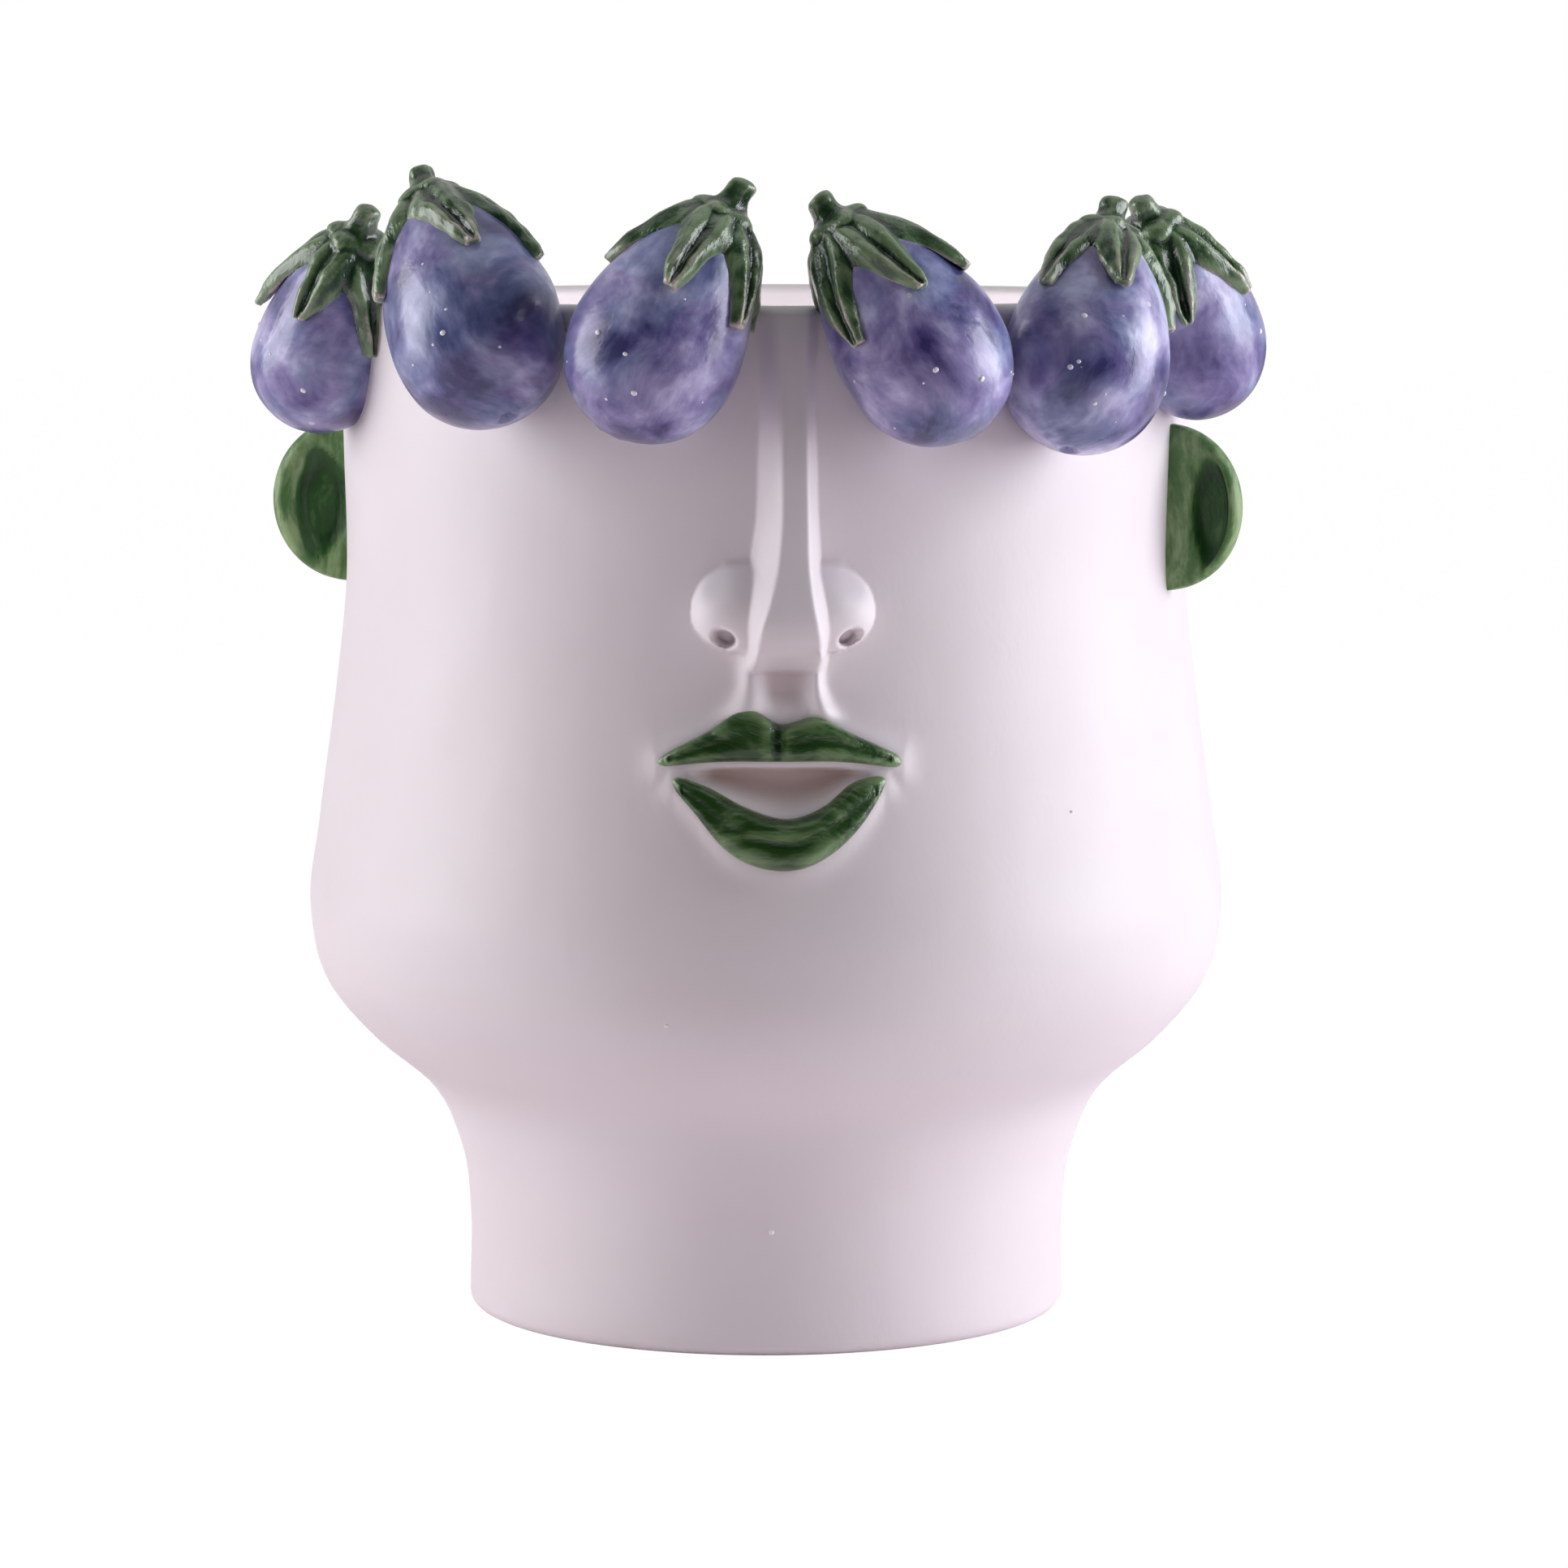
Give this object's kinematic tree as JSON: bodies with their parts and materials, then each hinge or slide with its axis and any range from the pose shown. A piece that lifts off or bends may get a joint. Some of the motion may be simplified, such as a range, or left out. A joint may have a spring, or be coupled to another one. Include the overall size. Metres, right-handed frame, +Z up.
{
  "type": "ceramic head vase",
  "caption": "Round glazed ceramic vase shaped as an eyeless head with lips, nose and ears, its rim dressed with eggplants; stands flat and holds flowers or a plant.",
  "frame": {"origin": "centre of the flat base, on the ground", "axes": "+Z up along the jar's axis, -Y is the way the face looks, +X is a viewer's right"},
  "size_m": [0.2399, 0.2434, 0.2805],
  "materials": {
    "white_glaze": "glossy white glaze with a faint pink cast",
    "lip_green": "glossy brushed dark green glaze",
    "ear_green": "glossy brushed green glaze, darker in the dish",
    "aubergine_violet": "glossy mottled violet and blue glaze with white specks",
    "leaf_green": "glossy dark green glaze, paler on its ridges"
  },
  "bodies": {
    "root": {"vase_body": "white_glaze", "upper_lip": "lip_green", "lower_lip": "lip_green", "left_ear": "ear_green", "right_ear": "ear_green", "eggplant_1": "aubergine_violet", "eggplant_2": "aubergine_violet", "eggplant_3": "aubergine_violet", "eggplant_4": "aubergine_violet", "eggplant_5": "aubergine_violet", "eggplant_6": "aubergine_violet", "calyx_1": "leaf_green", "calyx_2": "leaf_green", "calyx_3": "leaf_green", "calyx_4": "leaf_green", "calyx_5": "leaf_green", "calyx_6": "leaf_green", "stem_1": "leaf_green", "stem_2": "leaf_green", "stem_3": "leaf_green", "stem_4": "leaf_green", "stem_5": "leaf_green", "stem_6": "leaf_green"}
  },
  "joints": []
}
